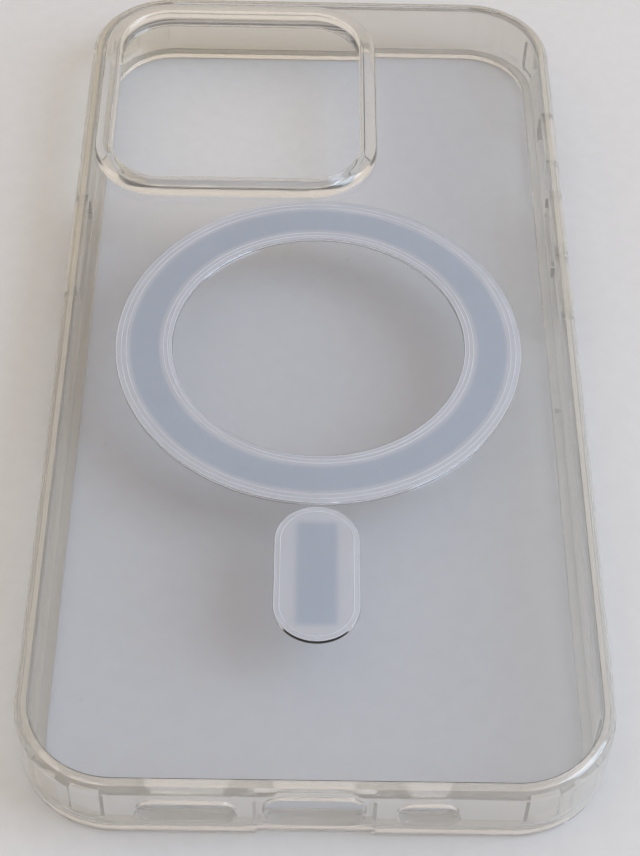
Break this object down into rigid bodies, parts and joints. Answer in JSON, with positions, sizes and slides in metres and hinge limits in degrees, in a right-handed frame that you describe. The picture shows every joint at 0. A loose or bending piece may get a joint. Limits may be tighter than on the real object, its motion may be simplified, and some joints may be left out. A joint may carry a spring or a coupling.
{
  "type": "phone case",
  "caption": "Clear phone case with a soft frame, a hard back plate, a raised guard round the camera window, a magnet ring for accessories and an alignment magnet, and sliding side buttons.",
  "frame": {"origin": "centre of the case's outline, on the plane of its front rim, with the case lying on its open front", "axes": "+X across the case to the side with the volume buttons, +Y along the case to the camera end, +Z out of the back"},
  "size_m": [0.0754, 0.151, 0.0125],
  "materials": {
    "soft_frame": "clear soft moulding, faintly yellowed, glossy",
    "clear_plate": "clear hard sheet, glossy, fine scratches",
    "guard": "clear moulding, faintly yellowed, glossy",
    "cover_film": "frosted translucent film",
    "backing_film": "white adhesive film",
    "magnet": "nickel plated, satin",
    "button": "clear soft moulding, glossy"
  },
  "bodies": {
    "case": {"bumper_frame": "soft_frame", "back_plate": "clear_plate", "camera_guard": "guard", "ring_cover_film": "cover_film", "magnet_01": "magnet", "magnet_02": "magnet", "magnet_03": "magnet", "magnet_04": "magnet", "magnet_05": "magnet", "magnet_06": "magnet", "magnet_07": "magnet", "magnet_08": "magnet", "magnet_09": "magnet", "magnet_10": "magnet", "magnet_11": "magnet", "magnet_12": "magnet", "magnet_13": "magnet", "magnet_14": "magnet", "magnet_15": "magnet", "magnet_16": "magnet", "magnet_17": "magnet", "magnet_18": "magnet", "magnet_19": "magnet", "magnet_20": "magnet", "magnet_21": "magnet", "magnet_22": "magnet", "magnet_23": "magnet", "magnet_24": "magnet", "magnet_25": "magnet", "magnet_26": "magnet", "magnet_27": "magnet", "magnet_28": "magnet", "magnet_29": "magnet", "magnet_30": "magnet", "magnet_31": "magnet", "magnet_32": "magnet", "magnet_33": "magnet", "magnet_34": "magnet", "magnet_35": "magnet", "magnet_36": "magnet", "ring_backing_film": "backing_film", "bar_cover_film": "cover_film", "alignment_magnet": "magnet", "bar_backing_film": "backing_film"},
    "power": {"power_button": "button"},
    "volume_up": {"volume_up_button": "button"},
    "volume_down": {"volume_down_button": "button"}
  },
  "joints": [
    {"name": "power_press", "type": "slide", "parent": "case", "child": "power", "axis": [1, 0, 0], "range_m": [0, 0.0004], "stiffness_N_per_m": 1500},
    {"name": "volume_up_press", "type": "slide", "parent": "case", "child": "volume_up", "axis": [-1, 0, 0], "range_m": [0, 0.0004], "stiffness_N_per_m": 1500},
    {"name": "volume_down_press", "type": "slide", "parent": "case", "child": "volume_down", "axis": [-1, 0, 0], "range_m": [0, 0.0004], "stiffness_N_per_m": 1500}
  ]
}
